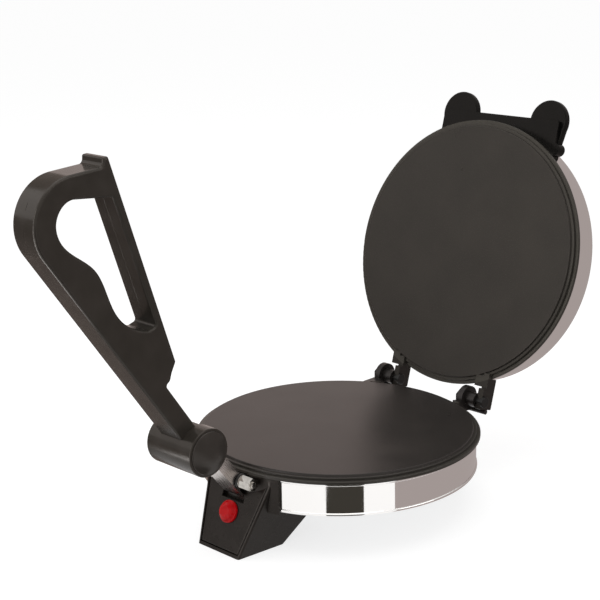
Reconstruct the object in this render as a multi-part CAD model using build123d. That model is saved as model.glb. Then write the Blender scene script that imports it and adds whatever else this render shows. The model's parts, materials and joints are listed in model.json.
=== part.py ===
"""Electric roti maker: two heated 8 inch plates, the upper one in a hinged lid, pressed together by a
folding lever at the front.

Millimetres, +Z up. The origin is the centre of the lower cooking face, +Y points to the lid hinges and
the lever stands at the front, towards -Y. The lid is drawn open and the lever leaning outwards.
"""
from build123d import *
import os
from math import cos, radians, sin, tan

# ---------------------------------------------------------------- driving sizes
# shells, stainless sheet; the drum's radius sets the size of the cooker
shell_radius = 105.0
shell_wall = 0.9
drum_height = 24.8
lid_height = 26.4
bead_height = 2.4            # rolled bead along each open edge
bead_stand = 0.9             # how far a bead stands out of the shell
flange_width = 6.0           # turned-in flange at the bottom of the drum
lid_corner = 5.0             # rounded edge of the lid's top

# cooking plates, cast aluminium
rim_stand = 3.0              # plate's edge outside its shell
face_inset = 5.6             # flat cooking face inside the plate's edge
rim_depth = 5.6              # from the cooking face to the underside of the edge
plate_thickness = 6.0
step_depth = 1.5             # first step of the edge
step_height = 1.9            # from the first step down to the second
rim_rounding = 0.5
spigot_depth = 3.2           # ring under the edge that centres the plate in its shell
spigot_wall = 3.0
closed_gap = 0.6             # between the two faces with the lid down

# heating pack behind each plate
heater_margin = 21.0         # heater's edge inside the shell's outer face
mica_thickness = 1.6
insulation_thickness = 3.0
pressure_thickness = 1.5
rib_width = 5.0              # pressed rib that stiffens the pressure plate
rib_height = 1.5
pack_hole_radius = 19.0      # centre hole that leaves room for the thermostat
pack_screw_margin = 28.0     # pack's screws inside the heater's edge
pack_screw_count = 4
pack_screw_bite = 4.0        # how far a screw enters the plate
thermostat_radius = 8.5
thermostat_height = 11.0
thermostat_hole = 12.5       # each fixing hole from the thermostat's axis
thermostat_ear = 1.2         # thickness of the ears round its fixing holes
thermostat_ear_radius = 3.3
terminal_width = 6.4
terminal_gauge = 0.8
terminal_length = 8.0
fuse_radius = 2.2
fuse_length = 15.0
fuse_circle = 36.0

# screws that hold the shell and its cover to the plate
cover_boss_radius = 5.0
cover_boss_margin = 13.0     # boss centres inside the shell's outer face
cover_boss_count = 4
cover_screw_bite = 9.0

# base cover, legs and pads
cover_thickness = 1.0
cover_edge = 3.0             # cover's edge inside the drum's outer face
vent_count = 12
vent_circle = 52.0
vent_length = 26.0
vent_width = 3.2
leg_height = 32.3            # from the drum's bottom edge to the worktop
leg_x = 36.0
leg_margin = 20.0            # leg's axis behind the centre, short of the drum's radius by this
leg_top_radius = 10.0
leg_foot_radius = 8.0
leg_wall = 2.2
leg_boss_radius = 4.5
leg_screw_bite = 14.0        # how far the cover's screws enter the legs and the box
pad_thickness = 2.0
pad_recess = 1.0

# control box, the black front leg
box_front_drop = 21.3        # front panel outside the drum at the worktop
box_lean = 23.8              # degrees that the front panel leans out
box_half_foot = 21.2         # half width of the front edge at the worktop
box_half_top = 33.2          # half width of the front edge under the plate's rim
box_half_heel = 25.5         # half width of the rear edge at the worktop
box_foot_length = 41.4       # front to back at the worktop
box_back_lean = 48.8         # degrees that the rear wall leans in under the drum
box_wall = 2.2
box_corner = 1.5
panel_thickness = 3.0
panel_edge = 1.2             # rounding round the panel
panel_groove = 0.4           # open seam between the panel and the side walls
panel_lug = 8.0
panel_lug_x = 11.0
panel_seat = 1.5             # pads inside the box floor that take the panel's screws
saddle_gap = 1.5             # room behind the saddle for the lever bracket
saddle_wall = 1.4
saddle_half = 37.5
saddle_lip = 2.0
window_bottom = 11.0         # saddle's opening for the bracket cheeks, below the rim
slot_bottom = 22.0           # panel's opening for the link, below the rim
slot_half = 14.0
slot_margin = 1.2            # each side of the link, below the bracket cheeks
box_screw_x = 20.0
box_screw_margin = 29.0      # screws inside the drum's front

# wire and lead entries of the box
grommet_radius = 5.0
grommet_step = 8.0           # grommet in front of the box's screws
grommet_wall = 1.5
grommet_lip = 2.0            # how far a lip stands out of its hole
bush_height = 16.0           # lead bush's centre above the worktop
bush_radius = 5.5
bush_collar = 7.5
bush_bore = 3.5
bush_flange = 1.5
bush_tail = 6.0
block_length = 26.0          # ceramic terminal block
block_depth = 13.0
block_height = 11.0
block_floor = 4.0            # ceramic left under its wire wells
block_step = 4.0             # block behind the middle of the box's floor
well_radius = 2.0

# indicator lamp
lamp_up = 29.6               # lamp centre up the panel from the worktop
lamp_radius = 8.2
lamp_flange = 1.6
lamp_dome_radius = 7.4
lamp_stand = 5.2
lens_rounding = 0.6
lens_step = 0.4
lens_shoulder = 1.2
lamp_body_radius = 4.0
lamp_body_length = 16.0
lamp_nut_radius = 5.6
lamp_nut_height = 2.0
lamp_terminal_x = 2.5
lamp_terminal_gauge = 0.8
lamp_terminal_width = 4.0
lamp_terminal_length = 6.0
lamp_room = 0.6              # clear room round the lamp's nut

# lever link and its bracket
pivot_reach = 4.0            # pivot axis outside the plate's edge
pivot_drop = 9.9             # pivot axis below the cooking face
pivot_radius = 2.5           # M5 bolt
link_lean = 39.0             # degrees from upright at rest
link_rise = 52.2             # pivot axis to knuckle axis along the link
link_offset = 8.2            # knuckle axis outwards of the pivot line
link_width = 20.0
link_back = 6.5              # channel's web outwards of the pivot
link_front = 3.5             # channel's open side inwards of the pivot
link_gauge = 1.5
link_tail = 12.0
link_web_top = 40.0
link_lobe = 5.0
link_eye = 7.0
bracket_gauge = 1.5
bracket_lobe = 5.5
bracket_half = 20.0
bracket_screw_x = 16.0
nut_across = 9.0
nut_height = 10.0            # tall nut
pivot_head_height = 4.0
washer_thickness = 1.0
washer_radius = 5.0
thread_stand = 1.0           # bolt's tip beyond its nut
side_clearance = 0.6         # each side of the link in its bracket and in the knuckle

# handle with the knuckle at its foot
handle_lean = 35.0           # degrees from upright at rest
handle_thickness = 23.0
handle_edge = 2.0            # rounding of the moulding's edges
handle_wall = 2.6
knuckle_radius = 17.2
knuckle_length = 45.0
knuckle_cavity = 12.8
knuckle_edge = 0.8
knuckle_pin_radius = 3.0
cap_radius = 15.4
cap_thickness = 2.4
cap_stand = 0.8              # how far a cap's rim stands out of the barrel's end
cap_crown = 1.7              # rise of its domed end
cap_edge = 0.7
counterbore_radius = 6.6
counterbore_depth = 4.2
neck_back = 5.8              # outline outwards and inwards of the knuckle axis
back_swell = 1.6             # back fuller towards the crown
neck_front = 9.0
neck_length = 56.5
beak_n = 68.3                # tip over the top of the hand hole
beak_a = 208.0
brow_back = 7.1              # brow of the top edge, behind and below the tip
brow_drop = 2.3
brow_radius = 3.0
beak_radius = 1.2
beak_lift = 2.0              # beak's heel above and behind its tip
beak_heel = 3.6
crown_rise = 39.0            # back's line meets the top's line this far above the tip
crown_radius = 31.0
pressing_n = 25.0            # foot of the straight edge that presses on the lid
pressing_a = 63.5
chin_radius = 2.4
chin_back = 7.0              # chin under the pressing edge
chin_drop = 3.6
throat_step = 4.5            # shoulder between the chin and the neck
throat_radius = 2.0
bar_thickness = 6.2          # straight bar between the hand hole and the pressing edge
hole_drop = 1.1              # top of the hand hole below the tip
hole_slant = 21.4            # its front corner below its top
hole_bottom = 95.3
finger_mean = 14.0           # wavy finger edge of the hand hole
finger_wave = 2.8
finger_reach = 1.8           # upper hollow deeper than the lower one
finger_pitch = 62.0
hole_shoulder_radius = 16.3  # round upper corner behind the fingers
heel_width = 6.3             # narrow heel at the bottom of the hand hole
heel_rise = 2.0
hole_crown = 18.5            # front end of the hole's round top, from the finger edge's middle line
hole_fall = 2.0              # and its drop below the top
hole_rounding = 1.8
handle_screw_radius = 1.75
handle_screw_seat = 5.0      # depth of the screws' counterbores
screw_boss_radius = 4.5
handle_head = 2.0
pocket_drop = 15.0           # moulded pocket's top below the tip
m6_across = 10.0
m6_height = 3.6

# lid hinges
hinge_reach = 6.4            # hinge axis outside the plate's edge
hinge_drop = 0.9             # hinge axis below the cooking face
hinge_pin_radius = 3.0
open_angle = 106.3
hinge_x = 43.7               # middle of each hinge; both stand the same way round
lug_offset = 12.2            # base lug's far side, left of the hinge's middle
lug_width = 5.0
lug_radius = 10.0
lug_root = 9.0               # flare of the lug into the plate's edge
hinge_boss = 8.4             # boss between the lug and the lid's strap
hinge_boss_radius = 5.8
strap_width = 5.0
strap_front = 2.0            # strap's sides before and behind the hinge axis
strap_rear = 12.5
strap_end = 6.3              # its square end beyond the axis
strap_neck = 10.4            # its shoulder short of the axis
strap_corner = 1.0
strap_root = 11.4            # cast block beside the strap, ends short of the axis
strap_root_offset = 5.8      # and starts left of the hinge's middle
hinge_clearance = 0.4
hinge_head_radius = 4.6
hinge_head = 2.2
hinge_head_edge = 0.6
hinge_nut = 4.5
stop_radius = 2.0            # cast stop on the lug, under the square end of the open lid's strap
stop_along = 8.0
stop_gap = 0.05

# black bracket round the front of the lid, with two lifting ears
bracket_reach = 10.2         # straight front edge outside the lid's shell
bracket_low = 11.4           # above the plate's rim
bracket_thick = 9.5
ear_x = 44.2
ear_radius = 17.5
ear_reach = 26.5             # ear's tip outside the lid's shell
ear_thickness = 6.0
knob_radius = 5.0
knob_x = 57.5
lid_screw_x = 30.0
lid_screw_bite = 7.0
ear_edge = 1.6
arm_corner = 2.0

# fasteners and fits
m3 = 1.5
m4 = 2.0
m5 = 2.5
head_ratio = 1.75            # pan head's radius over its screw's radius
head_height = 2.0            # flat heads inside the shells
running = 0.05               # radial clearance round a pin that turns
snug = 0.1

# ---------------------------------------------------------------- levels and places that follow
rim_radius = shell_radius + rim_stand
face_radius = rim_radius - face_inset
heater_radius = shell_radius - heater_margin
pack_screw_circle = heater_radius - pack_screw_margin
cover_boss_circle = shell_radius - cover_boss_margin
leg_y = shell_radius - leg_margin
box_screw_y = box_screw_margin - shell_radius
drum_top = -rim_depth
drum_bottom = drum_top - drum_height
floor = drum_bottom - leg_height
lid_rim = closed_gap + rim_depth
lid_top = lid_rim + lid_height
shell_inner = shell_radius - shell_wall
bead_side = shell_radius + bead_stand
spigot_radius = shell_inner - 2 * snug
cover_bottom = drum_bottom - cover_thickness
saddle_inner = shell_radius + saddle_gap
saddle_outer = saddle_inner + saddle_wall
pivot_y = -rim_radius - pivot_reach
pivot_z = -pivot_drop
hinge_y = rim_radius + hinge_reach
hinge_z = -hinge_drop
lean_sin = sin(radians(link_lean))
lean_cos = cos(radians(link_lean))
knuckle_y = pivot_y - link_offset * lean_cos - link_rise * lean_sin
knuckle_z = pivot_z - link_offset * lean_sin + link_rise * lean_cos
crown_height = beak_a + crown_rise
hole_top = beak_a - hole_drop
bracket_front = shell_radius + bracket_reach
ear_tip = shell_radius + ear_reach


# ---------------------------------------------------------------- helpers
def disc(radius, low, high, x=0.0, y=0.0):
    """Upright cylinder between two heights."""
    return Pos(x, y, low) * Cylinder(radius, high - low, align=(Align.CENTER, Align.CENTER, Align.MIN))


def block(x0, x1, y0, y1, z0, z1):
    return Pos(x0, y0, z0) * Box(x1 - x0, y1 - y0, z1 - z0, align=(Align.MIN, Align.MIN, Align.MIN))


def ring(outer, inner, low, high):
    return disc(outer, low, high) - disc(inner, low - 1, high + 1)


def rod(radius, x0, x1, y=0.0, z=0.0):
    """Cylinder along X."""
    along = Rot(0, 90, 0) * Cylinder(radius, x1 - x0, align=(Align.CENTER, Align.CENTER, Align.MIN))
    return Pos(x0, y, z) * along


def hexagon(across, x0, x1, y=0.0, z=0.0):
    """Hexagon prism along X, measured across its flats."""
    section = Pos(y, z) * RegularPolygon(across / 2, 6, major_radius=False, rotation=30)
    return slab(section, x0, x1)


def slab(section, x0, x1):
    """Prism along X of a sketch drawn with Y to the right and Z up."""
    return extrude(Plane.YZ.offset(x0) * section, x1 - x0)


def tile(section, low, high):
    """Upright prism of a sketch drawn in plan."""
    return extrude(Plane.XY.offset(low) * section, high - low)


def outline(*points):
    return make_face(Polyline(*points, close=True))


def rounded(*corners):
    """Face with straight sides, whose corners are (u, v) or (u, v, radius)."""
    face = outline(*[corner[:2] for corner in corners])
    for corner in corners:
        if len(corner) == 3:
            vertex = face.vertices().sort_by_distance(Vector(corner[0], corner[1]))[0]
            face = fillet(vertex, corner[2])
    return face


def turned(section):
    """Solid of revolution about Z of a sketch drawn as (radius, height)."""
    return revolve(Plane.XZ * section, Axis.Z)


def around(count, radius, start=0.0):
    """Places on a circle in plan."""
    step = 360.0 / count
    return [(radius * cos(radians(start + step * i)), radius * sin(radians(start + step * i)))
            for i in range(count)]


def total(shapes):
    """One shape of all the shapes, fused."""
    result = shapes[0]
    for shape in shapes[1:]:
        result = result + shape
    return result


def group(shapes):
    """Separate solids that share a node."""
    return Compound(children=list(shapes))


def pair(shape):
    """A solid and its mirror image on the other side of the object."""
    return group([shape, mirror(shape, Plane.YZ)])


def flipped(shape):
    """What stands behind the lower plate, turned over to stand behind the upper one."""
    return Pos(0, 0, closed_gap) * mirror(shape, Plane.XY)


def opened(shape):
    """From the closed lid to the open lid."""
    return Pos(0, hinge_y, hinge_z) * Rot(-open_angle, 0, 0) * Pos(0, -hinge_y, -hinge_z) * shape


def leaned(shape):
    """From a link drawn upright round its pivot to its place at rest."""
    return Pos(0, pivot_y, pivot_z) * Rot(link_lean, 0, 0) * shape


def gripped(shape):
    """From a handle drawn upright round its knuckle to its place at rest."""
    return Pos(0, knuckle_y, knuckle_z) * Rot(handle_lean, 0, 0) * shape


def pan_screw(radius, head_at, tip, x=0.0, y=0.0):
    """Upright pan-head screw; its head sits at one height and its tip ends at the other."""
    way = 1 if tip > head_at else -1
    head = head_ratio * radius
    top = head_at - way * radius
    shank = disc(radius, min(head_at, tip), max(head_at, tip), x, y)
    cap = disc(head, min(head_at, top), max(head_at, top), x, y)
    crown = cap.edges().filter_by(GeomType.CIRCLE).sort_by(Axis.Z)
    cap = fillet(crown[0] if way > 0 else crown[-1], radius / 2)
    return cap + shank


nodes = {}

# ---------------------------------------------------------------- cooking plates
step_radius = (face_radius + rim_radius) / 2
plate_section = rounded(
    (0, 0), (face_radius, 0, rim_rounding), (face_radius + rim_rounding, -step_depth),
    (step_radius, -step_depth, rim_rounding), (step_radius, -step_depth - step_height),
    (rim_radius, -step_depth - step_height, rim_rounding), (rim_radius, -rim_depth),
    (spigot_radius, -rim_depth), (spigot_radius, -rim_depth - spigot_depth),
    (spigot_radius - spigot_wall, -rim_depth - spigot_depth),
    (spigot_radius - spigot_wall, -plate_thickness), (0, -plate_thickness))
plate = turned(plate_section)
boss_places = around(cover_boss_count, cover_boss_circle, 45)
pack_places = around(pack_screw_count, pack_screw_circle, 45)
plate_bosses = [disc(cover_boss_radius, drum_bottom, -plate_thickness, x, y) for x, y in boss_places]
boss_bores = [disc(m4, drum_bottom - 1, drum_bottom + cover_screw_bite, x, y) for x, y in boss_places]
pack_bores = [disc(m5, -plate_thickness - 1, -plate_thickness + pack_screw_bite, x, y)
              for x, y in pack_places]
thermostat_bores = [disc(m3, -plate_thickness - 1, -plate_thickness + pack_screw_bite, x, 0)
                    for x in (-thermostat_hole, thermostat_hole)]

# hinge, from left to right: cast lug and boss on the lower plate, strap on the upper plate, bolt's head
lug_low = -lug_offset
lug_high = lug_low + lug_width
boss_end = lug_high + hinge_boss
strap_low = boss_end + hinge_clearance
strap_high = strap_low + strap_width
hinge_places = (-hinge_x, hinge_x)
stop_out = strap_end + stop_gap + stop_radius
stop_turn = radians(open_angle)
stop_y = hinge_y + stop_out * cos(stop_turn) + stop_along * sin(stop_turn)
stop_z = hinge_z - stop_out * sin(stop_turn) + stop_along * cos(stop_turn)


def behind(radius, x0, x1, far):
    """Where a circle in plan stands at the farther or the nearer of two distances from the middle."""
    reach = max(abs(x0), abs(x1)) if far else min(abs(x0), abs(x1))
    return (radius ** 2 - reach ** 2) ** 0.5


def hinge_lug(middle):
    """Lug with its flare towards the middle of the object, its boss and the stop for the open lid."""
    x0 = middle + lug_low
    x1 = middle + lug_high
    start = behind(rim_radius, x0, x1, True) - 3
    clear = behind(shell_radius + bead_stand, x0, x1, False) + 1
    section = Pos(hinge_y, hinge_z) * Circle(lug_radius) + Pos(stop_y, stop_z) * Circle(stop_radius)
    section += outline((clear, -rim_depth), (start, -rim_depth), (start, -2 * closed_gap),
                       (hinge_y - lug_radius + 1, -2 * closed_gap), (hinge_y, hinge_z + lug_radius),
                       (hinge_y, hinge_z - lug_radius))
    section += outline((hinge_y, hinge_z), (stop_y - stop_radius, stop_z),
                       (stop_y + stop_radius, stop_z), (hinge_y + lug_radius, hinge_z))
    side = -1 if middle > 0 else 1
    edge = x0 if middle > 0 else x1
    root_edge = hinge_y - lug_radius / 2
    root = outline((edge - side * lug_width, start), (edge + side * lug_root, start),
                   (edge + side * lug_root, root_edge), (edge - side * lug_width, root_edge))
    root = tile(root, -rim_depth, -2 * closed_gap) - disc(rim_radius - 1, -rim_depth - 1, 0)
    root -= disc(lug_root, -rim_depth - 1, 0, edge + side * lug_root, root_edge)
    lug = slab(section, x0, x1) + root
    lug += rod(hinge_boss_radius, x1, middle + boss_end, hinge_y, hinge_z)
    lug += rod(stop_radius, x1, middle + strap_high - 1, stop_y, stop_z)
    return lug - rod(hinge_pin_radius, x0 - 1, middle + boss_end + 1, hinge_y, hinge_z)


lower_plate = plate + total(plate_bosses) + total([hinge_lug(x) for x in hinge_places])
lower_plate -= total(boss_bores + pack_bores + thermostat_bores)
nodes["lower_cooking_plate"] = lower_plate


def hinge_strap(middle):
    """Square-ended strap on the rear edge of the upper plate, with the cast block beside it."""
    x0 = middle + strap_low
    x1 = middle + strap_high
    start = behind(rim_radius, x0, x1, True) - 4
    clear = behind(bead_side + hinge_clearance, x0, x1, False)
    section = rounded((start, closed_gap), (hinge_y - strap_neck, closed_gap),
                      (hinge_y - strap_neck, hinge_z - strap_front),
                      (hinge_y + strap_end, hinge_z - strap_front, strap_corner),
                      (hinge_y + strap_end, hinge_z + strap_rear, strap_corner),
                      (clear, hinge_z + strap_rear), (clear, lid_rim), (start, lid_rim))
    left = middle - strap_root_offset
    strap = slab(section, x0, x1) - rod(hinge_pin_radius + running, x0 - 1, x1 + 1, hinge_y, hinge_z)
    return strap + block(left, x0, behind(rim_radius, left, x0, True) - 4, hinge_y - strap_root,
                         closed_gap, lid_rim)


lid_depth = lid_top - shell_wall
lid_bosses = [disc(cover_boss_radius, lid_rim, lid_depth, x, y) for x, y in boss_places]
lid_bores = [disc(m4, lid_depth - cover_screw_bite, lid_depth + 1, x, y) for x, y in boss_places]
upper_plate = flipped(plate) + total(lid_bosses) + total([hinge_strap(x) for x in hinge_places])
upper_plate -= total(lid_bores + [flipped(bore) for bore in pack_bores])
nodes["upper_cooking_plate"] = opened(upper_plate)

# ---------------------------------------------------------------- heating pack behind each plate
mica_low = -plate_thickness - mica_thickness
insulation_low = mica_low - insulation_thickness
pressure_low = insulation_low - pressure_thickness


def pack_ring(high, low):
    """Ring between two levels with holes for the pack's screws."""
    holes = [disc(m5 + snug, low - 1, high + 1, x, y) for x, y in pack_places]
    return ring(heater_radius, pack_hole_radius, low, high) - total(holes)


heater = pack_ring(-plate_thickness, mica_low)
insulation = pack_ring(mica_low, insulation_low)
rib_circle = (heater_radius + pack_screw_circle) / 2
rib = ring(rib_circle + rib_width / 2, rib_circle - rib_width / 2, pressure_low - rib_height, pressure_low)
pressure_plate = pack_ring(insulation_low, pressure_low) + rib
pack_screws = [pan_screw(m5, pressure_low, -plate_thickness + pack_screw_bite, x, y)
               for x, y in pack_places]

nodes["lower_heater"] = heater
nodes["lower_insulation"] = insulation
nodes["lower_pressure_plate"] = pressure_plate
nodes["lower_pack_screws"] = group(pack_screws)
nodes["upper_heater"] = opened(flipped(heater))
nodes["upper_insulation"] = opened(flipped(insulation))
nodes["upper_pressure_plate"] = opened(flipped(pressure_plate))
nodes["upper_pack_screws"] = opened(group([flipped(screw) for screw in pack_screws]))

# bimetal thermostat on the back of the lower plate
ear_low = -plate_thickness - thermostat_ear
can_low = -plate_thickness - thermostat_height
thermostat_holes = (-thermostat_hole, thermostat_hole)
thermostat = disc(thermostat_radius, can_low, -plate_thickness)
thermostat += tile(SlotOverall(2 * (thermostat_hole + thermostat_ear_radius), 2 * thermostat_ear_radius),
                   ear_low, -plate_thickness)
for x in (-thermostat_radius / 2, thermostat_radius / 2):
    thermostat += block(x - terminal_gauge / 2, x + terminal_gauge / 2, -terminal_width / 2,
                        terminal_width / 2, can_low - terminal_length, can_low)
thermostat -= total([disc(m3 + snug, ear_low - 1, -plate_thickness + 1, x, 0) for x in thermostat_holes])
nodes["thermostat"] = thermostat
nodes["thermostat_screws"] = group([
    pan_screw(m3, ear_low, -plate_thickness + pack_screw_bite, x, 0) for x in thermostat_holes])

# thermal fuse strapped to the upper pressure plate
fuse_z = pressure_low - fuse_radius
fuse = rod(fuse_radius, -fuse_length / 2, fuse_length / 2, fuse_circle, fuse_z)
nodes["thermal_fuse"] = opened(flipped(fuse))

# ---------------------------------------------------------------- drum
drum_section = rounded(
    (shell_inner, drum_top), (bead_side, drum_top, bead_height / 3),
    (bead_side, drum_top - bead_height, bead_height / 3), (shell_radius, drum_top - bead_height),
    (shell_radius, drum_bottom + bead_height), (bead_side, drum_bottom + bead_height, bead_height / 3),
    (bead_side, drum_bottom, bead_height / 3), (shell_radius - flange_width, drum_bottom),
    (shell_radius - flange_width, drum_bottom + shell_wall), (shell_inner, drum_bottom + shell_wall))
bracket_low_z = drum_bottom + bead_height + snug
bracket_high_z = drum_top - bead_height - snug
bracket_margin = 2.5 * m4
bracket_screw_z = [bracket_low_z + bracket_margin, bracket_high_z - bracket_margin]


def radial(radius, r0, r1, x, z):
    """Cylinder through the front of the drum, along Y."""
    along = Rot(90, 0, 0) * Cylinder(radius, r1 - r0, align=(Align.CENTER, Align.CENTER, Align.MIN))
    return Pos(x, -r0, z) * along


bracket_spots = [(x, z) for x in (-bracket_screw_x, bracket_screw_x) for z in bracket_screw_z]
screw_reach = (shell_radius ** 2 - bracket_screw_x ** 2) ** 0.5
base_shell = turned(drum_section)
base_shell -= total([radial(m4 + snug, screw_reach - 5, screw_reach + 5, x, z) for x, z in bracket_spots])
nodes["base_shell"] = base_shell

cover_radius = shell_radius - cover_edge
base_cover = disc(cover_radius, cover_bottom, drum_bottom)
for i in range(vent_count):
    vent = Pos(vent_circle, 0, 0) * SlotOverall(vent_length, vent_width)
    base_cover -= Rot(0, 0, 15 + i * 360 / vent_count) * tile(vent, cover_bottom - 1, drum_bottom + 1)
leg_places = [(-leg_x, leg_y), (leg_x, leg_y)]
box_screw_places = [(-box_screw_x, box_screw_y), (box_screw_x, box_screw_y)]
grommet_y = box_screw_y - grommet_step
base_cover -= total([disc(m4 + snug, cover_bottom - 1, drum_bottom + 1, x, y)
                     for x, y in boss_places + leg_places + box_screw_places])
base_cover -= disc(grommet_radius, cover_bottom - 1, drum_bottom + 1, 0, grommet_y)
nodes["base_cover"] = base_cover
nodes["base_cover_screws"] = group([
    pan_screw(m4, cover_bottom, drum_bottom + cover_screw_bite, x, y) for x, y in boss_places])

# ---------------------------------------------------------------- rear legs
leg_low = floor + pad_thickness - pad_recess
pocket_low = leg_low + 4 * pad_recess
pocket_high = cover_bottom - leg_wall
leg_bite = cover_bottom - leg_screw_bite
foot_inner = leg_foot_radius - leg_wall
leg = turned(outline((0, cover_bottom), (leg_top_radius, cover_bottom), (leg_foot_radius, leg_low),
                     (0, leg_low)))
leg -= turned(outline((leg_boss_radius, pocket_low), (leg_boss_radius, pocket_high),
                      (leg_top_radius - leg_wall, pocket_high), (foot_inner, pocket_low)))
leg -= disc(foot_inner, leg_low - 1, leg_low + pad_recess)
leg -= disc(m4, leg_bite, cover_bottom + 1)
pad = disc(foot_inner, floor, leg_low + pad_recess)
nodes["rear_leg_left"] = Pos(-leg_x, leg_y, 0) * leg
nodes["rear_leg_right"] = Pos(leg_x, leg_y, 0) * leg
nodes["leg_screws"] = group([pan_screw(m4, drum_bottom, leg_bite, x, y) for x, y in leg_places])
nodes["foot_pads"] = group([Pos(x, y, 0) * pad for x, y in leg_places])

# ---------------------------------------------------------------- control box
box_front_y = -shell_radius - box_front_drop
front_slope = tan(radians(box_lean))
back_slope = tan(radians(box_back_lean))
box_height = drum_top - floor
box_splay = (box_half_heel - box_half_foot) / box_foot_length
box_flare = (box_half_top - box_half_foot - box_splay * box_height * front_slope) / box_height


def front_at(z):
    return box_front_y + (z - floor) * front_slope


def back_at(z):
    return box_front_y + box_foot_length + (z - floor) * back_slope


def half_at(y, z):
    """Half width of the box; its sides are flat, splayed to the rear and flared upwards."""
    return box_half_foot + box_splay * (y - box_front_y) + box_flare * (z - floor)


def box_quad(z, front, back, inset):
    near = half_at(front, z) - inset
    far = half_at(back, z) - inset
    return Plane.XY.offset(z) * outline((-near, front), (near, front), (far, back), (-far, back))


box_outer = loft([box_quad(floor, front_at(floor), back_at(floor), 0),
                  box_quad(drum_top, front_at(drum_top), back_at(drum_top), 0)], ruled=True)
uprights = box_outer.edges().filter_by(lambda e: abs(e.center().Z - (floor + drum_top) / 2) < 1)
box_outer = fillet(uprights, box_corner)
cavity_low = floor + box_wall
wall_back = box_wall / cos(radians(box_back_lean))
box_inner = loft([box_quad(z, front_at(z) - 2 * panel_thickness, back_at(z) - wall_back, box_wall)
                  for z in (cavity_low, drum_top + 1)], ruled=True)
box_inner -= disc(saddle_outer, cover_bottom - saddle_wall, drum_top + 2)
saddle_top = drum_top - snug
saddle_zone = block(-saddle_half, saddle_half, -2 * shell_radius, 0, cover_bottom, saddle_top)
saddle = ring(saddle_outer, saddle_inner, cover_bottom, saddle_top) & saddle_zone
lips = ring(saddle_outer, shell_radius + snug / 2, bracket_low_z, bracket_high_z)
lips = (lips & saddle_zone) - block(-saddle_half + saddle_lip, saddle_half - saddle_lip,
                                    -2 * shell_radius, 0, cover_bottom - 1, drum_top)
drum_room = disc(saddle_inner, cover_bottom, drum_top + 2)
above_rim = block(-2 * saddle_half, 2 * saddle_half, -2 * shell_radius, 0, saddle_top, drum_top + 9)
control_box = box_outer - box_inner - drum_room - above_rim + saddle + lips
window = block(-slot_half, slot_half, -saddle_outer - 3, -shell_radius + 3,
               drum_top - window_bottom, drum_top + 1)
control_box -= window & ring(saddle_outer + 9, saddle_inner - 1, drum_top - window_bottom, drum_top + 1)
post_low = leg_bite + 2
control_box += total([disc(leg_boss_radius, post_low, cover_bottom - saddle_wall / 2, x, y)
                      for x, y in box_screw_places])
control_box -= total([disc(m4, post_low - 2, cover_bottom + 1, x, y) for x, y in box_screw_places])
control_box -= disc(grommet_radius, cover_bottom - saddle_wall - 1, cover_bottom + 1, 0, grommet_y)

# rubber bush in the sloping rear wall, where the supply lead comes in
bush_z = floor + bush_height
bush_plane = Plane(origin=(0, back_at(bush_z), bush_z), x_dir=(1, 0, 0),
                   z_dir=(0, cos(radians(box_back_lean)), -sin(radians(box_back_lean))))
bush_section = outline(
    (bush_bore, -box_wall - 2 * bush_flange), (bush_collar, -box_wall - 2 * bush_flange),
    (bush_collar, -box_wall), (bush_radius, -box_wall), (bush_radius, 0), (bush_collar, 0),
    (bush_collar, bush_flange), (bush_radius, bush_tail), (bush_bore, bush_tail))
nodes["cord_bush"] = bush_plane * turned(bush_section)
control_box -= bush_plane * Cylinder(bush_radius, 4 * box_wall)

panel_screw_y = front_at(floor) + panel_thickness + panel_lug
panel_screw_places = [(-panel_lug_x, panel_screw_y), (panel_lug_x, panel_screw_y)]
seat_top = cavity_low + panel_seat
control_box += total([disc(panel_lug / 2, cavity_low - 1, seat_top, x, y) for x, y in panel_screw_places])
control_box -= total([disc(m3 + snug, floor - 1, seat_top + 1, x, y) for x, y in panel_screw_places])
control_box -= total([disc(head_ratio * m3 + snug, floor - 1, floor + m3 + 2 * snug, x, y)
                      for x, y in panel_screw_places])
nodes["control_box"] = control_box

nodes["box_screws"] = group([pan_screw(m4, drum_bottom, post_low, x, y) for x, y in box_screw_places])
grommet_low = cover_bottom - saddle_wall
grommet_bore = grommet_radius - grommet_wall
grommet_outer = grommet_radius + grommet_lip
grommet_section = outline(
    (grommet_bore, grommet_low - grommet_wall), (grommet_outer, grommet_low - grommet_wall),
    (grommet_outer, grommet_low), (grommet_radius, grommet_low), (grommet_radius, drum_bottom),
    (grommet_outer, drum_bottom), (grommet_outer, drum_bottom + grommet_wall),
    (grommet_bore, drum_bottom + grommet_wall))
nodes["wire_grommet"] = Pos(0, grommet_y, 0) * turned(grommet_section)

# ---------------------------------------------------------------- front panel of the control box
panel_plane = Plane(origin=(0, box_front_y, floor), x_dir=(1, 0, 0),
                    z_dir=(0, -cos(radians(box_lean)), sin(radians(box_lean))))
panel_inset = box_wall + panel_groove
panel_low = cavity_low + panel_groove
panel_foot = (panel_low - floor) / cos(radians(box_lean))
panel_head = (saddle_top - snug - floor) / cos(radians(box_lean))


def panel_half(v):
    """Half width of the panel, up its slope from the worktop."""
    z = floor + v * cos(radians(box_lean))
    return half_at(front_at(z), z) - panel_inset


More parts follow.
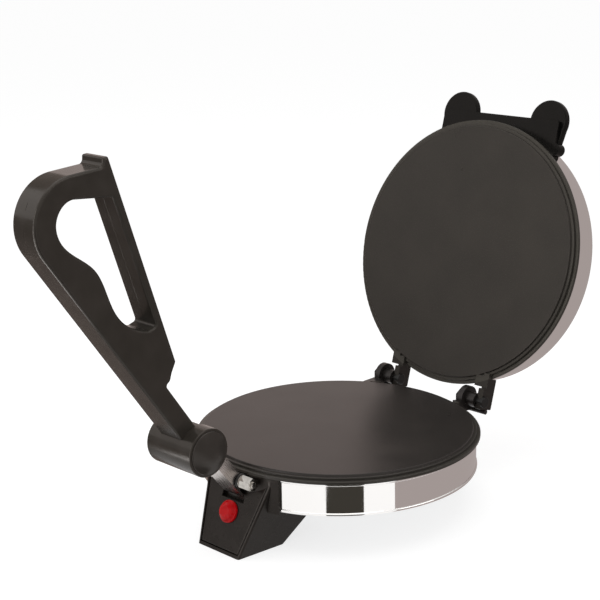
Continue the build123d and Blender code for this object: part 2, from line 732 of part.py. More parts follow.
panel_sketch = outline((-panel_half(panel_foot), panel_foot), (panel_half(panel_foot), panel_foot),
                       (panel_half(panel_head), panel_head), (-panel_half(panel_head), panel_head))
panel = extrude(panel_sketch, -panel_thickness)
panel = fillet(panel.faces().sort_by(Axis.Z)[-1].edges(), panel_edge)
panel = panel_plane * panel
panel -= block(-box_half_top, box_half_top, -2 * shell_radius, 0, floor - 1, panel_low)
lug_back = panel_screw_y + panel_lug / 2
panel_lugs = [block(x - panel_lug / 2, x + panel_lug / 2, front_at(seat_top) + 1, lug_back,
                    seat_top + snug, seat_top + panel_lug) for x, y in panel_screw_places]
panel += total(panel_lugs)
panel -= total([disc(m3, floor, seat_top + panel_lug - 1, x, y) for x, y in panel_screw_places])
panel -= panel_plane * Pos(0, panel_head / 2, panel_lug) * Box(3 * box_half_top, 3 * panel_head,
                                                               2 * panel_lug)
panel -= disc(saddle_outer + 2 * snug, drum_bottom - 9, drum_top + 1)
link_room = link_width / 2 + slot_margin
panel -= block(-link_room, link_room, -2 * shell_radius, 0, drum_top - slot_bottom, drum_top + 1)
panel -= block(-slot_half, slot_half, -2 * shell_radius, 0, drum_top - window_bottom, drum_top + 1)
panel -= panel_plane * Pos(0, lamp_up, 0) * Cylinder(lamp_body_radius, 3 * panel_thickness)
nodes["control_panel"] = panel
nodes["panel_screws"] = group([pan_screw(m3, floor + m3 + 2 * snug, seat_top + panel_lug - 1, x, y)
                               for x, y in panel_screw_places])

# indicator lamp: red lens, holder behind it and the nut that clamps it
lamp_plane = panel_plane * Pos(0, lamp_up, 0)
lens_section = rounded(
    (0, 0), (lamp_radius, 0), (lamp_radius, lamp_flange, lens_rounding),
    (lamp_dome_radius, lamp_flange + lens_step),
    (lamp_dome_radius - lens_shoulder, lamp_stand - lens_shoulder, lens_shoulder),
    (lamp_dome_radius / 2, lamp_stand, lens_shoulder), (0, lamp_stand))
nodes["indicator_lens"] = lamp_plane * turned(lens_section)
holder = Pos(0, 0, -lamp_body_length) * Cylinder(lamp_body_radius, lamp_body_length,
                                                  align=(Align.CENTER, Align.CENTER, Align.MIN))
for x in (-lamp_terminal_x, lamp_terminal_x):
    holder += Pos(x, 0, -lamp_body_length - lamp_terminal_length / 2) * Box(
        lamp_terminal_gauge, lamp_terminal_width, lamp_terminal_length)
nodes["indicator_lamp"] = lamp_plane * holder
nut_back = -panel_thickness - lamp_nut_height
lamp_nut = extrude(Plane.XY.offset(nut_back) * RegularPolygon(lamp_nut_radius, 6), lamp_nut_height)
lamp_nut -= Pos(0, 0, nut_back) * Cylinder(lamp_body_radius, lamp_body_length)
nodes["indicator_nut"] = lamp_plane * lamp_nut
lamp_depth = lamp_body_length + lamp_terminal_length + lamp_room
nodes["control_box"] -= lamp_plane * Pos(0, 0, -lamp_depth) * Cylinder(
    lamp_nut_radius + lamp_room, lamp_depth - panel_thickness, align=(Align.CENTER, Align.CENTER, Align.MIN))

# ceramic terminal block on the floor of the box
block_y = box_front_y + box_foot_length / 2 + block_step
terminals = block(-block_length / 2, block_length / 2, block_y, block_y + block_depth,
                  cavity_low, cavity_low + block_height)
for x in (-block_length / 3, 0, block_length / 3):
    terminals -= disc(well_radius, cavity_low + block_floor, cavity_low + block_height + 1, x,
                      block_y + block_depth / 2)
nodes["terminal_block"] = terminals

# ---------------------------------------------------------------- lever bracket and pivot
cheek_inner = link_width / 2 + side_clearance
cheek_outer = cheek_inner + bracket_gauge
web_zone = block(-bracket_half, bracket_half, -2 * shell_radius, 0, bracket_low_z, bracket_high_z)
bracket_web = ring(shell_radius + bracket_gauge, shell_radius, bracket_low_z, bracket_high_z) & web_zone
window_low = drum_top - window_bottom + 2 * snug
cheek_section = (Pos(pivot_y, pivot_z) * Circle(bracket_lobe)
                 + outline((pivot_y, bracket_high_z + snug), (-saddle_inner, bracket_high_z),
                           (-shell_radius - snug, bracket_high_z), (-shell_radius - snug, window_low),
                           (pivot_y, pivot_z - bracket_lobe)))
cheek = slab(cheek_section, cheek_inner, cheek_outer)
lever_bracket = bracket_web + cheek + mirror(cheek, Plane.YZ)
lever_bracket -= rod(pivot_radius, -2 * link_width, 2 * link_width, pivot_y, pivot_z)
lever_bracket -= total([radial(m4, screw_reach - 5, screw_reach + 5, x, z) for x, z in bracket_spots])
nodes["lever_bracket"] = lever_bracket

screw_head = head_ratio * m4
inner_reach = ((shell_inner - 4 * snug) ** 2 - (bracket_screw_x + screw_head) ** 2) ** 0.5
bracket_tip = screw_reach + bracket_gauge - 4 * snug
bracket_screws = []
for x, z in bracket_spots:
    head = radial(screw_head, inner_reach - head_height, inner_reach, x, z)
    bracket_screws.append(head + radial(m4, inner_reach - 1, bracket_tip, x, z))
nodes["lever_bracket_screws"] = group(bracket_screws)

washer_face = cheek_outer + washer_thickness
bolt_tip = washer_face + nut_height + thread_stand
pivot_head = -washer_face - pivot_head_height
pivot_bolt = rod(pivot_radius, -washer_face, bolt_tip, pivot_y, pivot_z)
pivot_bolt += hexagon(nut_across, pivot_head, -washer_face, pivot_y, pivot_z)
nodes["pivot_bolt"] = pivot_bolt
washer = rod(washer_radius, cheek_outer, washer_face, pivot_y, pivot_z)
washer -= rod(pivot_radius, 0, 2 * cheek_outer, pivot_y, pivot_z)
nodes["pivot_washers"] = pair(washer)
pivot_nut = hexagon(nut_across, washer_face, washer_face + nut_height, pivot_y, pivot_z)
pivot_nut -= rod(pivot_radius, 0, 2 * bolt_tip, pivot_y, pivot_z)
nodes["pivot_nut"] = pivot_nut

# ---------------------------------------------------------------- lever link, a bent steel channel
link_half = link_width / 2
eye_n = -link_offset
flange_section = (Circle(link_lobe) + Pos(eye_n, link_rise) * Circle(link_eye)
                  + outline((link_front, 0), (link_front, link_web_top),
                            (eye_n + 0.75 * link_eye, link_rise + 0.66 * link_eye),
                            (eye_n - 0.98 * link_eye, link_rise - 0.2 * link_eye),
                            (-link_back, link_web_top), (-link_back, -link_tail),
                            (-link_back + link_gauge, -link_tail), (-link_back + link_gauge, -link_lobe),
                            (0, -link_lobe)))
link = slab(flange_section, -link_half, link_half)
trough = outline((-link_back + link_gauge, -2 * link_tail), (2 * link_front, -2 * link_tail),
                 (2 * link_front, 2 * link_rise), (-3 * link_offset, 2 * link_rise),
                 (-3 * link_offset, link_web_top), (-link_back + link_gauge, link_web_top))
link -= slab(trough, -link_half + link_gauge, link_half - link_gauge)
link -= rod(pivot_radius + running, -link_width, link_width)
link -= rod(knuckle_pin_radius + running, -link_width, link_width, eye_n, link_rise)
nodes["lever_link"] = leaned(link)

# ---------------------------------------------------------------- handle in two moulded halves
pressing_slope = (beak_n - pressing_n) / (beak_a - pressing_a)
handle_section = rounded(
    (-neck_back, 0), (-neck_back, neck_length), (-neck_back - back_swell, crown_height, crown_radius),
    (beak_n - brow_back, beak_a - brow_drop, brow_radius),
    (beak_n - beak_heel, beak_a + beak_lift, beak_radius), (beak_n, beak_a, beak_radius),
    (pressing_n, pressing_a, chin_radius),
    (pressing_n - chin_back, pressing_a - chin_drop, brow_radius),
    (neck_front + throat_step, neck_length, brow_radius), (neck_front, neck_length, throat_radius),
    (neck_front, 0))


def bar_at(a):
    """Inner side of the straight bar: the pressing edge less the bar's thickness."""
    return pressing_n + pressing_slope * (a - pressing_a) - bar_thickness


crest = finger_mean + finger_wave
hollow_low = finger_mean - finger_wave
hollow_high = hollow_low - finger_reach
arc_n = hollow_high + hole_shoulder_radius
arc_a = hole_top - hole_shoulder_radius
arc_reach = hole_shoulder_radius * sin(radians(45))
hole_corner = bar_at(hole_bottom)
hole_shoulder = hole_top - hole_slant
heel_top = hole_bottom + heel_rise
finger_end = (hole_corner - heel_width, heel_top)
hole_corners = [(hole_corner, hole_bottom), (bar_at(hole_shoulder), hole_shoulder)]
hole_lip = (finger_mean + hole_crown, hole_top - hole_fall)
finger_points = [hole_lip, (arc_n, hole_top), (arc_n - arc_reach, arc_a + arc_reach), (hollow_high, arc_a),
                 (crest, arc_a - finger_pitch / 2), (hollow_low, arc_a - finger_pitch),
                 finger_end]
hole_curve = Spline(*finger_points)
hole_sketch = make_face([hole_curve, Polyline(finger_end, *hole_corners, hole_lip)])
for spot in hole_corners + [finger_end]:
    vertex = hole_sketch.vertices().sort_by_distance(Vector(*spot))[0]
    hole_sketch = fillet(vertex, hole_rounding)

handle_half = handle_thickness / 2
knuckle_half = knuckle_length / 2
body_half = slab(handle_section - hole_sketch, 0, handle_half)
rim_edges = body_half.faces().sort_by(Axis.X)[-1].edges()
body_half = fillet(rim_edges, handle_edge)
barrel = rod(knuckle_radius, 0, knuckle_half)
barrel = fillet(barrel.edges().filter_by(GeomType.CIRCLE).sort_by(Axis.X)[-1], knuckle_edge)
knuckle_tilt = link_lean - handle_lean
web_gap = link_offset - link_back - 4 * snug
swing_room = Rot(0, 0, knuckle_tilt) * outline(
    (web_gap, 0), (web_gap, -2 * knuckle_radius), (3 * knuckle_radius, -2 * knuckle_radius),
    (3 * knuckle_radius, 0))
swing_top = link_offset + link_front + 4 * snug
swing_room += outline((0, 0), (knuckle_radius, -knuckle_radius), (3 * knuckle_radius, -link_gauge),
                      (3 * knuckle_radius, swing_top), (0, swing_top))
swing_room += Circle(knuckle_cavity)
right_half = body_half + barrel - slab(swing_room, -1, cheek_inner)
cap_recess = rod(cap_radius, knuckle_half - cap_thickness, knuckle_half + 1)
counterbore = rod(counterbore_radius, knuckle_half - cap_thickness - counterbore_depth, knuckle_half)
right_half -= cap_recess
right_half -= counterbore
right_half -= rod(knuckle_pin_radius, 0, knuckle_length)

# moulded pockets that leave walls round the handle, with bosses for its screws
screw_spots = [(pressing_n - 15.0, pressing_a + 15.5), (finger_mean - 11.2, (beak_a + hole_bottom) / 2 - 3),
               (finger_mean - 8.7, beak_a - 2), (beak_n - 13.3, beak_a - 8)]
pocket_back = handle_wall - neck_back
pocket_finger = hollow_high - 2 * handle_wall
pocket_front = pressing_n - 2 * handle_wall
pocket_top = beak_a - pocket_drop
pocket_sketch = rounded(
    (pocket_back, knuckle_radius + handle_wall, 1), (pocket_back, pocket_top, 2),
    (pocket_finger, pocket_top, 1), (pocket_finger, hole_bottom, 1),
    (pocket_front, hole_bottom - 2 * handle_wall, 1), (pocket_front, pressing_a + handle_wall, 1),
    (neck_front - handle_wall, neck_length + handle_wall, 1),
    (neck_front - handle_wall, knuckle_radius + handle_wall, 1))
pocket = slab(pocket_sketch, 0, handle_half - handle_wall)
for n, a in screw_spots:
    pocket -= rod(screw_boss_radius, 0, handle_half, n, a)
right_half -= pocket
left_half = mirror(right_half, Plane.YZ)
handle_head_radius = head_ratio * handle_screw_radius
for n, a in screw_spots:
    left_half -= rod(handle_screw_radius, -handle_thickness, 0, n, a)
    left_half -= rod(handle_head_radius + snug, -handle_thickness, handle_screw_seat - handle_half, n, a)
    right_half -= rod(handle_screw_radius, -1, handle_half - handle_wall, n, a)
nodes["handle_left_half"] = gripped(left_half)
nodes["handle_right_half"] = gripped(right_half)

handle_screws = []
for n, a in screw_spots:
    head_face = handle_screw_seat - handle_half
    screw = rod(handle_head_radius, head_face - handle_head, head_face, n, a)
    screw += rod(handle_screw_radius, head_face - handle_head / 2, handle_half - handle_wall - 1, n, a)
    handle_screws.append(gripped(screw))
nodes["handle_screws"] = group(handle_screws)

# knuckle pin: a bolt through both halves and the link's eyes, under a cap at each end
seat = knuckle_half - cap_thickness - counterbore_depth
knuckle_pin = rod(knuckle_pin_radius, -seat, seat + m6_height)
knuckle_pin += hexagon(m6_across, -seat - m6_height, -seat)
nodes["knuckle_pin"] = gripped(knuckle_pin)
knuckle_nut = hexagon(m6_across, seat, seat + m6_height) - rod(knuckle_pin_radius, 0, knuckle_length)
nodes["knuckle_nut"] = gripped(knuckle_nut)
cap_rim = (cap_radius - snug, cap_thickness + cap_stand)
cap_top = (0, cap_rim[1] + cap_crown)
cap_section = make_face([TangentArc(cap_top, cap_rim, tangent=(1, 0)),
                         Polyline(cap_rim, (cap_rim[0], 0), (0, 0), cap_top)])
cap_section = fillet(cap_section.vertices().sort_by_distance(Vector(*cap_rim))[0], cap_edge)
cap = Pos(knuckle_half - cap_thickness, 0, 0) * Rot(0, 90, 0) * turned(cap_section)
nodes["knuckle_caps"] = gripped(pair(cap))

# ---------------------------------------------------------------- lid
lid_section = rounded(
    (shell_inner, lid_rim), (bead_side, lid_rim, bead_height / 3),
    (bead_side, lid_rim + bead_height, bead_height / 3), (shell_radius, lid_rim + bead_height),
    (shell_radius, lid_top, lid_corner), (0, lid_top), (0, lid_top - shell_wall),
    (shell_inner, lid_top - shell_wall, lid_corner - shell_wall))
lid_shell = turned(lid_section)
lid_shell -= total([disc(m4 + snug, lid_top - 2, lid_top + 1, x, y) for x, y in boss_places])
lid_screw_z = lid_rim + bracket_low + bracket_thick / 2
lid_screw_y = (shell_radius ** 2 - lid_screw_x ** 2) ** 0.5
lid_shell -= total([radial(m4 + snug, lid_screw_y - 6, lid_screw_y + 6, x, lid_screw_z)
                    for x in (-lid_screw_x, lid_screw_x)])
nodes["lid_shell"] = opened(lid_shell)
nodes["lid_screws"] = opened(group([
    pan_screw(m4, lid_top, lid_depth - cover_screw_bite, x, y) for x, y in boss_places]))

# ---------------------------------------------------------------- lid bracket with lifting ears
low_z = lid_rim + bracket_low
high_z = low_z + bracket_thick
ear_low_z = high_z - ear_thickness
ear_y = ear_radius - ear_tip
ear_out = ear_x + ear_radius
arm_y = -(shell_radius ** 2 - knob_x ** 2) ** 0.5
arm = rounded((-knob_x, -bracket_front, arm_corner), (knob_x, -bracket_front, arm_corner),
              (knob_x, arm_y), (-knob_x, arm_y))
knob_y = -((shell_radius + knob_radius - 1) ** 2 - knob_x ** 2) ** 0.5
bar = tile(arm, low_z, high_z) + disc(knob_radius, low_z, high_z, knob_x, knob_y)
bar += disc(knob_radius, low_z, high_z, -knob_x, knob_y)
bar = fillet(bar.edges().group_by(Axis.Z)[-1], ear_edge)
ear = Pos(ear_x, ear_y) * Circle(ear_radius) + outline(
    (ear_x - ear_radius, ear_y), (ear_out, ear_y), (knob_x, arm_y), (ear_x - ear_radius, arm_y))
ear = tile(ear, ear_low_z, high_z)
ear = fillet(ear.edges().group_by(Axis.Z)[-1] + ear.edges().group_by(Axis.Z)[0], ear_edge)
lid_bracket = bar + ear + mirror(ear, Plane.YZ) - disc(shell_radius, low_z - 1, high_z + 1)
screw_end_y = lid_screw_y + lid_screw_bite
lid_bracket -= total([radial(m4, lid_screw_y - lid_screw_bite, screw_end_y, x, lid_screw_z)
                      for x in (-lid_screw_x, lid_screw_x)])
nodes["lid_bracket"] = opened(lid_bracket)
inside_y = ((shell_inner - 2 * snug) ** 2 - (lid_screw_x + screw_head) ** 2) ** 0.5
bracket_pins = []
for x in (-lid_screw_x, lid_screw_x):
    head = radial(screw_head, inside_y - head_height, inside_y, x, lid_screw_z)
    bracket_pins.append(head + radial(m4, inside_y - 1, screw_end_y, x, lid_screw_z))
nodes["lid_bracket_screws"] = opened(group(bracket_pins))

# ---------------------------------------------------------------- hinge bolts
bolt_head = strap_high + hinge_clearance
hinge_bolt = rod(hinge_pin_radius, lug_low - hinge_nut, bolt_head, hinge_y, hinge_z)
hinge_cap = rod(hinge_head_radius, bolt_head, bolt_head + hinge_head, hinge_y, hinge_z)
hinge_bolt += fillet(hinge_cap.edges().filter_by(GeomType.CIRCLE).sort_by(Axis.X)[-1], hinge_head_edge)
nodes["hinge_bolts"] = group([Pos(x, 0, 0) * hinge_bolt for x in hinge_places])
nut = hexagon(m6_across, lug_low - hinge_nut, lug_low, hinge_y, hinge_z)
nut -= rod(hinge_pin_radius, 2 * lug_low, 0, hinge_y, hinge_z)
nodes["hinge_nuts"] = group([Pos(x, 0, 0) * nut for x in hinge_places])

# ---------------------------------------------------------------- files
os.makedirs("parts", exist_ok=True)
for name, shape in nodes.items():
    export_step(shape, f"parts/{name}.step")
print(len(nodes), "nodes, floor at", round(floor, 2), "knuckle at", round(knuckle_y, 2), round(knuckle_z, 2))
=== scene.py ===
"""Electric roti maker: its surfaces and finishes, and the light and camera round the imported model.

Metres, +Z up. The origin is the centre of the lower cooking face and +Y points to the lid hinges.
The sections follow the cooker as it is put together, from the lower plate up to the hinge bolts.
"""
import json
from math import cos, pi, radians, sin

import bmesh
import bpy
from mathutils import Matrix, Vector

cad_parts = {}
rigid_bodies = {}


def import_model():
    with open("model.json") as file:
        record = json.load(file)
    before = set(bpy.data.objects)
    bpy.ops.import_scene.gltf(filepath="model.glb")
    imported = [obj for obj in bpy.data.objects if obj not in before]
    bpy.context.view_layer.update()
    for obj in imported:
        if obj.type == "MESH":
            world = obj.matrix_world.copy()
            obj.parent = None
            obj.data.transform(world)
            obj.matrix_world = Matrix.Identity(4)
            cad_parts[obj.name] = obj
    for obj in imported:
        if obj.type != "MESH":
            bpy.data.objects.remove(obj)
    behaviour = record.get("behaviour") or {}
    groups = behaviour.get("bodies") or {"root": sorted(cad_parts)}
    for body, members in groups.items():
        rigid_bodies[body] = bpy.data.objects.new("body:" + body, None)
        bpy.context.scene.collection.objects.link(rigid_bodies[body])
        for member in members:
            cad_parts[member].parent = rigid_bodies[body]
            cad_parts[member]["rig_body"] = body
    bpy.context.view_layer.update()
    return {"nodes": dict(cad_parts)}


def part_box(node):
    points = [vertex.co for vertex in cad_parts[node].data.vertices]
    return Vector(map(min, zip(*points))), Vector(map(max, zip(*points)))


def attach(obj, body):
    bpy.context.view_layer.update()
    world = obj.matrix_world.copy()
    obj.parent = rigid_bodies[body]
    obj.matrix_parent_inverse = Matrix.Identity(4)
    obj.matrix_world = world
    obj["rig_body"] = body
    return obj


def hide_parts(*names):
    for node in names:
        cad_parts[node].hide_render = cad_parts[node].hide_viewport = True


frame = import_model()
nodes = frame["nodes"]
bpy.ops.object.select_all(action="DESELECT")

# ---------------------------------------------------------------- camera
# Long lens a little above the worktop, looking from the front right corner. It is tilted down at the
# cooker and rolled by under a degree.
camera_place = Vector((0.7046, -0.7480, 0.3804))
camera_turn = radians(44.83)
camera_pitch = radians(15.37)
camera_roll = radians(-0.88)
camera_data = bpy.data.cameras.new("camera")
camera_data.lens = 85.8
camera_data.sensor_width = 36.0
camera = bpy.data.objects.new("camera", camera_data)
camera.matrix_world = (Matrix.Translation(camera_place) @ Matrix.Rotation(camera_turn, 4, "Z")
                       @ Matrix.Rotation(pi / 2 - camera_pitch, 4, "X")
                       @ Matrix.Rotation(camera_roll, 4, "Z"))
bpy.context.collection.objects.link(camera)
bpy.context.scene.camera = camera
bpy.context.scene.view_settings.view_transform = "Standard"

# ---------------------------------------------------------------- studio
# White paper sweep under soft lights. It shows white to the camera and in reflections, and keeps the
# object's shadow. Coloured cards round it are seen only in the polished and glossy faces.
white = "#FFFFFF"
room_fill = 0.5              # what the white room adds to matt faces
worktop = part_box("foot_pads")[0].z
paper_size = 24.0
paper_drop = 0.0002          # gap under the pads
paper_glow = 0.75
card_ring = 0.106            # circle that the cards' reach is measured from, just outside the drum
card_far = 2.6
card_steps = 24
card_lift = 0.0004           # height of the floor cards over the worktop
card_foot = 0.0005           # lowest edge of the standing cards
camera_azimuth = -46.7       # degrees from +X to the camera


def linear(code):
    """Linear colour of an sRGB hex code."""
    parts = [int(code[i:i + 2], 16) / 255 for i in (1, 3, 5)]
    return tuple(p / 12.92 if p <= 0.04045 else ((p + 0.055) / 1.055) ** 2.4 for p in parts) + (1.0,)


def add_node(tree, kind, settings=None, inputs=None):
    """A shader node with its settings, and its inputs as values or as other nodes' sockets."""
    node = tree.nodes.new("ShaderNode" + kind)
    for name, value in (settings or {}).items():
        setattr(node, name, value)
    for name, value in (inputs or {}).items():
        if isinstance(value, bpy.types.NodeSocket):
            tree.links.new(value, node.inputs[name])
        else:
            node.inputs[name].default_value = value
    return node


def new_material(name):
    """An empty node material, its tree and its output."""
    material = bpy.data.materials.new(name)
    material.use_nodes = True
    material.node_tree.nodes.clear()
    return material, material.node_tree, add_node(material.node_tree, "OutputMaterial")


def rays_of(tree, first, *others):
    """1 on rays of these kinds, 0 on all others."""
    path = add_node(tree, "LightPath")
    seen = path.outputs[first]
    for kind in others:
        seen = add_node(tree, "Math", {"operation": "MAXIMUM"}, {0: seen, 1: path.outputs[kind]}).outputs[0]
    return seen


world = bpy.data.worlds.new("studio")
world.use_nodes = True
bpy.context.scene.world = world
air = world.node_tree
air.nodes.clear()
seen = rays_of(air, "Is Camera Ray", "Is Glossy Ray", "Is Transmission Ray")
fill_light = add_node(air, "Background", None, {"Color": linear(white), "Strength": room_fill})
white_room = add_node(air, "Background", None, {"Color": linear(white), "Strength": 1.0})
sky = add_node(air, "MixShader", None, {0: seen, 1: fill_light.outputs[0], 2: white_room.outputs[0]})
add_node(air, "OutputWorld", None, {"Surface": sky.outputs[0]})

bpy.ops.mesh.primitive_plane_add(size=paper_size, location=(0, 0, worktop - paper_drop))
paper = bpy.context.object
paper.name = "paper"
paper_material, tree, output = new_material("matt white paper")
seen = rays_of(tree, "Is Camera Ray", "Is Glossy Ray")
matt = add_node(tree, "BsdfDiffuse", None, {"Color": linear("#B4B4B4")})
glow = add_node(tree, "Emission", None, {"Color": linear(white), "Strength": paper_glow})
lit = add_node(tree, "AddShader", None, {0: matt.outputs[0], 1: glow.outputs[0]})
shown = add_node(tree, "MixShader", None, {0: seen, 1: matt.outputs[0], 2: lit.outputs[0]})
tree.links.new(shown.outputs[0], output.inputs["Surface"])
paper.data.materials.append(paper_material)


def card(name, start, end, colour, near=0.02, low=0.0, high=0.0, mirrored=False, strength=1.0):
    """A card round the object between two angles, on the worktop or standing between two heights.

    The edges of a mirrored card run the way the drum's face sends them, so that they look upright in it.
    """
    rings = [(near, worktop + card_lift), (card_far, worktop + card_lift)] if low == 0.0 else []
    if high:
        rings += [(card_far, worktop + max(low, card_foot)), (card_far, worktop + high)]
    points = []
    for reach, height in rings:
        for i in range(card_steps + 1):
            angle = start + (end - start) * i / card_steps
            way = radians(2 * angle - camera_azimuth if mirrored else angle)
            points.append((card_ring * cos(radians(angle)) + reach * cos(way),
                           card_ring * sin(radians(angle)) + reach * sin(way), height))
    row = card_steps + 1
    faces = [(r * row + i, r * row + i + 1, (r + 1) * row + i + 1, (r + 1) * row + i)
             for r in range(len(rings) - 1) for i in range(card_steps)]
    mesh = bpy.data.meshes.new(name)
    mesh.from_pydata(points, [], faces)
    piece = bpy.data.objects.new(name, mesh)
    bpy.context.collection.objects.link(piece)
    material, tree, output = new_material(name)
    shine = add_node(tree, "Emission", None, {"Color": linear(colour), "Strength": strength})
    tree.links.new(shine.outputs[0], output.inputs["Surface"])
    mesh.materials.append(material)
    piece.visible_camera = False
    piece.visible_diffuse = False
    piece.visible_transmission = False
    piece.visible_shadow = False


card("dark_card_front", -51.7, -36.7, "#3D3A35", mirrored=True)
card("warm_card_right", -23.8, 39.5, "#AAA09E", high=1.4, mirrored=True)
card("pink_card_back", 127, 152, "#E7D6D0", high=3.0)
card("grey_card_left", 152, 226, "#94867F", high=2.8)
card("grey_floor_left", 226, 240, "#94867F")
card("bright_floor_left", 242, 267, white, near=0.2, strength=6.0)
card("window_left", 241, 266, white, low=0.02, high=1.8, strength=4.0)
card("window_right", 5, 40, white, low=0.25, high=2.0, strength=4.0)


def softbox(name, place, aim, width, height, watts):
    """A rectangular soft light that looks at a point."""
    light = bpy.data.lights.new(name, "AREA")
    light.shape = "RECTANGLE"
    light.size = width
    light.size_y = height
    light.energy = watts
    lamp = bpy.data.objects.new(name, light)
    lamp.location = place
    lamp.rotation_euler = (Vector(aim) - Vector(place)).to_track_quat("-Z", "Y").to_euler()
    bpy.context.collection.objects.link(lamp)


softbox("overhead", (0.1, -0.2, 1.5), (0, 0, 0), width=1.6, height=1.2, watts=7)
softbox("left_window", (-1.3, -0.9, 0.9), (0, 0, 0.05), width=0.9, height=1.2, watts=4)

# ---------------------------------------------------------------- lower cooking plate
# Round casting of aluminium with two hinge lugs on its rear edge. Its face and stepped edge are turned,
# then sprayed with a dark non-stick coating, which leaves a fine orange peel and a soft gloss.
hinge_axis = Vector((0, 0.1144, -0.0009))
open_angle = radians(106.3)
coating_peel = 0.0011        # spacing of the coating's orange peel, coarser than the real 0.5 mm
coating_depth = 0.00002
coating_speck = 0.0007
patina = 0.045               # patches where fat has baked on
rim_highlight_start = 0.1018           # the rim is painted lighter from here, a painted highlight on its steps
rim_highlight_end = 0.1062
lug_start = 0.1081           # the lugs outside the rim stay dark
lug_end = 0.1085
weld = 0.000001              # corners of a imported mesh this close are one
flat_angle = radians(0.5)
on_parting = 0.00001         # how near x = 0 an edge of the parting lies
even_weight = 80


def closed_place(tree, lid):
    """Object coordinates, turned down to the closed lid for what rides on it."""
    place = add_node(tree, "TexCoord")
    if not lid:
        return place.outputs["Object"]
    turn = Matrix.Rotation(open_angle, 3, "X")
    offset = hinge_axis - turn @ hinge_axis
    turned = add_node(tree, "Mapping", {"vector_type": "POINT"},
                      {"Vector": place.outputs["Object"], "Location": offset,
                       "Rotation": (open_angle, 0, 0)})
    return turned.outputs["Vector"]


def noise(tree, place, size, detail=2.0, stretch=None):
    """Soft random pattern whose spots are about one size apart, from 0 to 1."""
    if stretch:
        scaled = add_node(tree, "VectorMath", {"operation": "MULTIPLY"}, {0: place, 1: stretch})
        place = scaled.outputs[0]
    pattern = add_node(tree, "TexNoise", None, {"Vector": place, "Scale": 1 / size, "Detail": detail})
    return pattern.outputs["Fac"]


def spread(tree, pattern, low, high, start=0.3, end=0.7):
    """A pattern stretched between two values."""
    ranged = add_node(tree, "MapRange", None,
                      {"Value": pattern, "From Min": start, "From Max": end, "To Min": low, "To Max": high})
    return ranged.outputs["Result"]


def mixed(tree, factor, first, second):
    """Colour between two colours, each a hex code or another node's socket."""
    first, second = [linear(c) if isinstance(c, str) else c for c in (first, second)]
    return add_node(tree, "Mix", {"data_type": "RGBA"}, {0: factor, 6: first, 7: second}).outputs[2]


def relief(tree, height, depth, below=None):
    """Bumps of one depth, over other bumps if there are any."""
    inputs = {"Height": height, "Distance": depth, "Strength": 1.0}
    if below is not None:
        inputs["Normal"] = below
    return add_node(tree, "Bump", None, inputs).outputs["Normal"]


def principled(tree, output, **sockets):
    """Shader whose sockets take values, hex codes or other nodes' sockets; _ stands for a space."""
    inputs = {name.replace("_", " "): linear(value) if isinstance(value, str) else value
              for name, value in sockets.items()}
    shader = add_node(tree, "BsdfPrincipled", None, inputs)
    tree.links.new(shader.outputs[0], output.inputs["Surface"])


def non_stick(name, lid, tint, level):
    """Dark non-stick coating sprayed on turned aluminium, with a painted highlight that makes it lighter
    along the rim.
    """
    material, tree, output = new_material(name)
    place = closed_place(tree, lid)
    baked = spread(tree, noise(tree, place, patina, 4.0), 0.0, 1.0)
    specks = spread(tree, noise(tree, place, coating_speck), 0.0, 0.5, start=0.55, end=0.75)
    colour = mixed(tree, baked, "#2A2725", "#322E2B")
    colour = mixed(tree, specks, colour, "#47423E")
    flat = add_node(tree, "VectorMath", {"operation": "MULTIPLY"}, {0: place, 1: (1, 1, 0)}).outputs[0]
    reach = add_node(tree, "VectorMath", {"operation": "LENGTH"}, {0: flat}).outputs["Value"]
    # painted highlight: the coating turns lighter along the rim's steps, standing in for their shine
    colour = mixed(tree, spread(tree, reach, 0.0, 1.0, rim_highlight_start, rim_highlight_end), colour, "#403D38")
    colour = mixed(tree, spread(tree, reach, 0.0, 1.0, lug_start, lug_end), colour, "#24211F")
    peel = relief(tree, noise(tree, place, coating_peel), coating_depth)
    rough = spread(tree, noise(tree, place, patina, 3.0), 0.27, 0.35)
    principled(tree, output, Base_Color=colour, Roughness=rough, Normal=peel,
               Specular_IOR_Level=level, Specular_Tint=tint)
    return material


def dress(material, *names):
    """Gives a material to whole CAD nodes."""
    for name in names:
        mesh = nodes[name].data
        mesh.materials.clear()
        mesh.materials.append(material)


def surfaced(node, material, angle=30.0, parting=0.0):
    """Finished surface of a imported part: one skin, smooth on its curves and crisp at its edges.

    A parting size breaks the edges of a half where it meets its twin at x = 0.
    """
    source = nodes[node]
    piece = bpy.data.objects.new(node + "_skin", source.data.copy())
    bpy.context.collection.objects.link(piece)
    bpy.ops.object.select_all(action="DESELECT")
    piece.select_set(True)
    bpy.context.view_layer.objects.active = piece
    bpy.ops.mesh.customdata_custom_splitnormals_clear()
    bpy.ops.object.mode_set(mode="EDIT")
    bpy.ops.mesh.select_all(action="SELECT")
    bpy.ops.mesh.remove_doubles(threshold=weld)
    if parting:
        bpy.ops.mesh.dissolve_limited(angle_limit=flat_angle)
        bpy.ops.mesh.select_all(action="DESELECT")
        mesh = bmesh.from_edit_mesh(piece.data)
        for edge in mesh.edges:
            facing = sorted(abs(face.normal.x) for face in edge.link_faces)
            meets = all(abs(vertex.co.x) < on_parting for vertex in edge.verts)
            edge.select = meets and len(facing) == 2 and facing[0] < 0.5 < facing[1]
        mesh.select_flush_mode()
        bmesh.update_edit_mesh(piece.data)
        bpy.ops.mesh.bevel(offset=parting, segments=1)
    bpy.ops.object.mode_set(mode="OBJECT")
    bpy.ops.object.shade_smooth_by_angle(angle=radians(angle))
    evener = piece.modifiers.new("even", "WEIGHTED_NORMAL")
    evener.keep_sharp = True
    evener.weight = even_weight
    bpy.ops.object.modifier_apply(modifier="even")
    piece.data.materials.clear()
    piece.data.materials.append(material)
    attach(piece, source["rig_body"])
    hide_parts(node)


